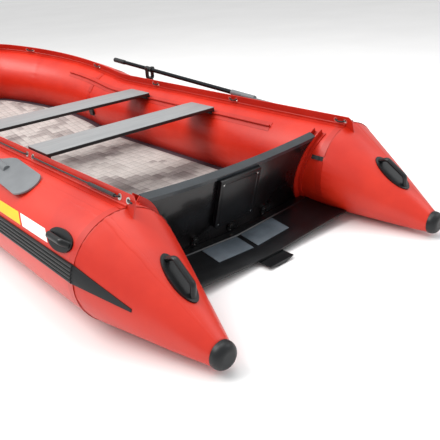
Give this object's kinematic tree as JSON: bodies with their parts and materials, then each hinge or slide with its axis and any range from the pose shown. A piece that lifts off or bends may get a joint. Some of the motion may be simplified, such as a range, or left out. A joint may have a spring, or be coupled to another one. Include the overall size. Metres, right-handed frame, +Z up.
{
  "type": "inflatable dinghy",
  "caption": "Inflatable dinghy with a drop-stitch floor, raked transom, sliding thwarts, stowed oars in swivelling rowlocks, spray flaps and lifelines.",
  "frame": {"origin": "under the middle of the boat, on the ground the tubes rest on", "axes": "+Y towards the bow, +X starboard, +Z up"},
  "size_m": [2.0196, 4.4001, 0.7776],
  "materials": {
    "hull_pvc": "satin",
    "tape_pvc": "satin",
    "flap_pvc": "satin",
    "strake_rubber": "satin",
    "eyelet_metal": "brushed",
    "rope": "matte",
    "thwart_board": "painted satin",
    "shoe_plastic": "matte",
    "rowlock_plastic": "satin",
    "oar_tube": "anodised",
    "oar_trim": "matte",
    "oar_blade": "satin",
    "transom_board": "gloss",
    "edging": "satin",
    "motor_pad": "satin",
    "screw_metal": "brushed",
    "foot_black": "satin",
    "foot_pad": "matte",
    "scupper_plastic": "gloss",
    "floor_pvc": "satin",
    "deck_foam": "matte",
    "handle_rubber": "satin",
    "webbing": "woven",
    "tow_patch": "satin",
    "tow_metal": "polished",
    "valve_plastic": "satin"
  },
  "bodies": {
    "hull": {"air_floor": "floor_pvc", "baffles": "hull_pvc", "bow_handle": "handle_rubber", "cone_cap_port": "strake_rubber", "cone_cap_starboard": "strake_rubber", "cone_handle_port": "handle_rubber", "cone_handle_starboard": "handle_rubber", "deck_mat": "deck_foam", "extension_pads": "foot_pad", "eyelets": "eyelet_metal", "flap_port": "flap_pvc", "flap_starboard": "flap_pvc", "keel": "foot_black", "lashing_loops": "webbing", "lifeline_port": "rope", "lifeline_splices": "rope", "lifeline_starboard": "rope", "motor_pad_inner": "motor_pad", "motor_pad_outer": "motor_pad", "rowlock_base_port": "rowlock_plastic", "rowlock_base_starboard": "rowlock_plastic", "scuppers": "scupper_plastic", "seam_tapes": "tape_pvc", "side_handle_port": "handle_rubber", "side_handle_starboard": "handle_rubber", "stern_extension": "foot_black", "strake_port": "strake_rubber", "strake_starboard": "strake_rubber", "thwart_rail_port": "flap_pvc", "thwart_rail_starboard": "flap_pvc", "tow_eye": "tow_patch", "transom": "transom_board", "transom_edging": "edging", "transom_holders": "tape_pvc", "transom_screws": "screw_metal", "tube_bow": "hull_pvc", "tube_port": "hull_pvc", "tube_starboard": "hull_pvc", "valve_bodies": "valve_plastic"},
    "thwart_aft_seat": {"thwart_aft": "thwart_board", "thwart_shoes_aft": "shoe_plastic"},
    "thwart_forward_seat": {"thwart_forward": "thwart_board", "thwart_shoes_forward": "shoe_plastic"},
    "drain_plug_port_turn": {"drain_plug_port": "scupper_plastic"},
    "drain_plug_centre_turn": {"drain_plug_centre": "scupper_plastic"},
    "drain_plug_starboard_turn": {"drain_plug_starboard": "scupper_plastic"},
    "valve_cap_port_turn": {"valve_cap_port": "valve_plastic"},
    "valve_cap_starboard_turn": {"valve_cap_starboard": "valve_plastic"},
    "valve_cap_bow_turn": {"valve_cap_bow": "valve_plastic"},
    "tow_ring_swing": {"tow_ring": "tow_metal"},
    "rowlock_port_swivel": {"rowlock_yoke_port": "rowlock_plastic"},
    "oar_port": {"oar_shaft_port": "oar_tube", "oar_collar_port": "oar_trim", "oar_blade_port": "oar_blade", "oar_grip_port": "oar_trim"},
    "rowlock_starboard_swivel": {"rowlock_yoke_starboard": "rowlock_plastic"},
    "oar_starboard": {"oar_shaft_starboard": "oar_tube", "oar_collar_starboard": "oar_trim", "oar_blade_starboard": "oar_blade", "oar_grip_starboard": "oar_trim"}
  },
  "joints": [
    {"name": "thwart_aft_slide", "type": "slide", "parent": "hull", "child": "thwart_aft_seat", "axis": [0, 1, 0], "range_m": [-0.4, 0.42]},
    {"name": "thwart_forward_slide", "type": "slide", "parent": "hull", "child": "thwart_forward_seat", "axis": [0, 1, 0], "range_m": [-0.42, 0.18]},
    {"name": "rowlock_starboard_yaw", "type": "hinge", "parent": "hull", "child": "rowlock_starboard_swivel", "pos_m": [0.81, 0.335, 0.54], "axis": [0, 0, 1], "range_deg": [0, 120]},
    {"name": "oar_starboard_pitch", "type": "hinge", "parent": "rowlock_starboard_swivel", "child": "oar_starboard", "pos_m": [0.81, 0.335, 0.59], "axis": [-0.9994, -0.0349, 0], "range_deg": [0, 7]},
    {"name": "rowlock_port_yaw", "type": "hinge", "parent": "hull", "child": "rowlock_port_swivel", "pos_m": [-0.81, 0.335, 0.54], "axis": [0, 0, -1], "range_deg": [0, 120]},
    {"name": "oar_port_pitch", "type": "hinge", "parent": "rowlock_port_swivel", "child": "oar_port", "pos_m": [-0.81, 0.335, 0.59], "axis": [-0.9994, 0.0349, 0], "range_deg": [0, 7]},
    {"name": "drain_plug_port_turn", "type": "hinge", "parent": "hull", "child": "drain_plug_port_turn", "pos_m": [-0.245, -1.42362, 0.10377], "axis": [0, -0.9622, -0.2723], "range_deg": [0, 90]},
    {"name": "drain_plug_centre_turn", "type": "hinge", "parent": "hull", "child": "drain_plug_centre_turn", "pos_m": [0, -1.42135, 0.09577], "axis": [0, -0.9622, -0.2723], "range_deg": [0, 90]},
    {"name": "drain_plug_starboard_turn", "type": "hinge", "parent": "hull", "child": "drain_plug_starboard_turn", "pos_m": [0.245, -1.42362, 0.10377], "axis": [0, -0.9622, -0.2723], "range_deg": [0, 90]},
    {"name": "valve_cap_starboard_turn", "type": "hinge", "parent": "hull", "child": "valve_cap_starboard_turn", "pos_m": [0.50041, 0.76847, 0.25468], "axis": [-0.9939, -0.0174, -0.1092], "range_deg": [0, 90]},
    {"name": "valve_cap_port_turn", "type": "hinge", "parent": "hull", "child": "valve_cap_port_turn", "pos_m": [-0.50041, 0.76847, 0.25468], "axis": [0.9939, -0.0174, -0.1092], "range_deg": [0, 90]},
    {"name": "valve_cap_bow_turn", "type": "hinge", "parent": "hull", "child": "valve_cap_bow_turn", "pos_m": [0.48905, 0.90248, 0.2783], "axis": [-0.9861, -0.1092, -0.1254], "range_deg": [0, 90]},
    {"name": "tow_ring_swing", "type": "hinge", "parent": "hull", "child": "tow_ring_swing", "pos_m": [0, 2.14994, 0.32178], "axis": [1, 0, 0], "range_deg": [0, 80]}
  ]
}
